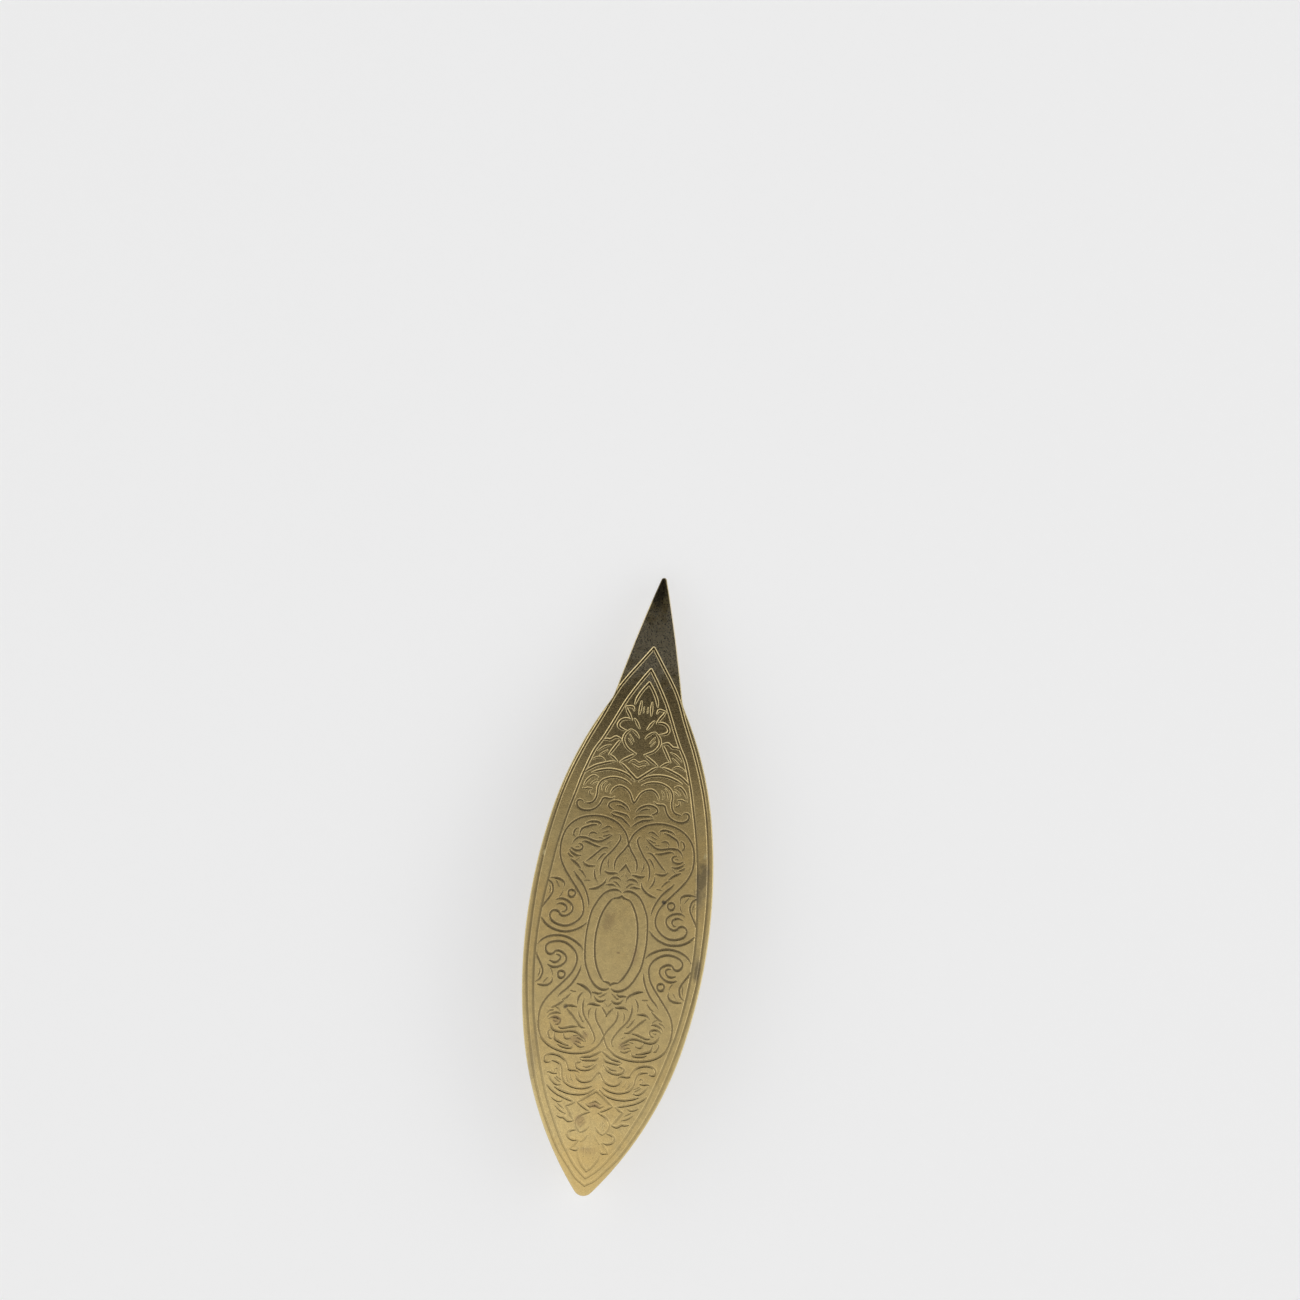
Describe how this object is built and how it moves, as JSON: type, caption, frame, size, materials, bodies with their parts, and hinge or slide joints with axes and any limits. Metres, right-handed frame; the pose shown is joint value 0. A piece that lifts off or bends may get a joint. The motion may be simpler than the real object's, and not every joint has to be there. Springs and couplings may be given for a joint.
{
  "type": "tatting shuttle",
  "caption": "Post tatting shuttle: two bowed, leaf-shaped brass blades with engraved borders, soldered to a drilled centre post; the upper blade runs on into a pick point.",
  "frame": {"origin": "middle of the thread hole in the post", "axes": "+X along the shuttle towards the point, +Y across it along the thread hole, +Z from the back blade to the front blade"},
  "size_m": [0.0889, 0.026, 0.01],
  "materials": {
    "front_sheet": "satin antique brass with a fine grain",
    "back_sheet": "satin antique brass with a fine grain",
    "post_brass": "drawn brass bar",
    "solder": "dull tin solder"
  },
  "bodies": {
    "root": {"front_blade": "front_sheet", "back_blade": "back_sheet", "post": "post_brass", "front_solder": "solder", "back_solder": "solder"}
  },
  "joints": []
}
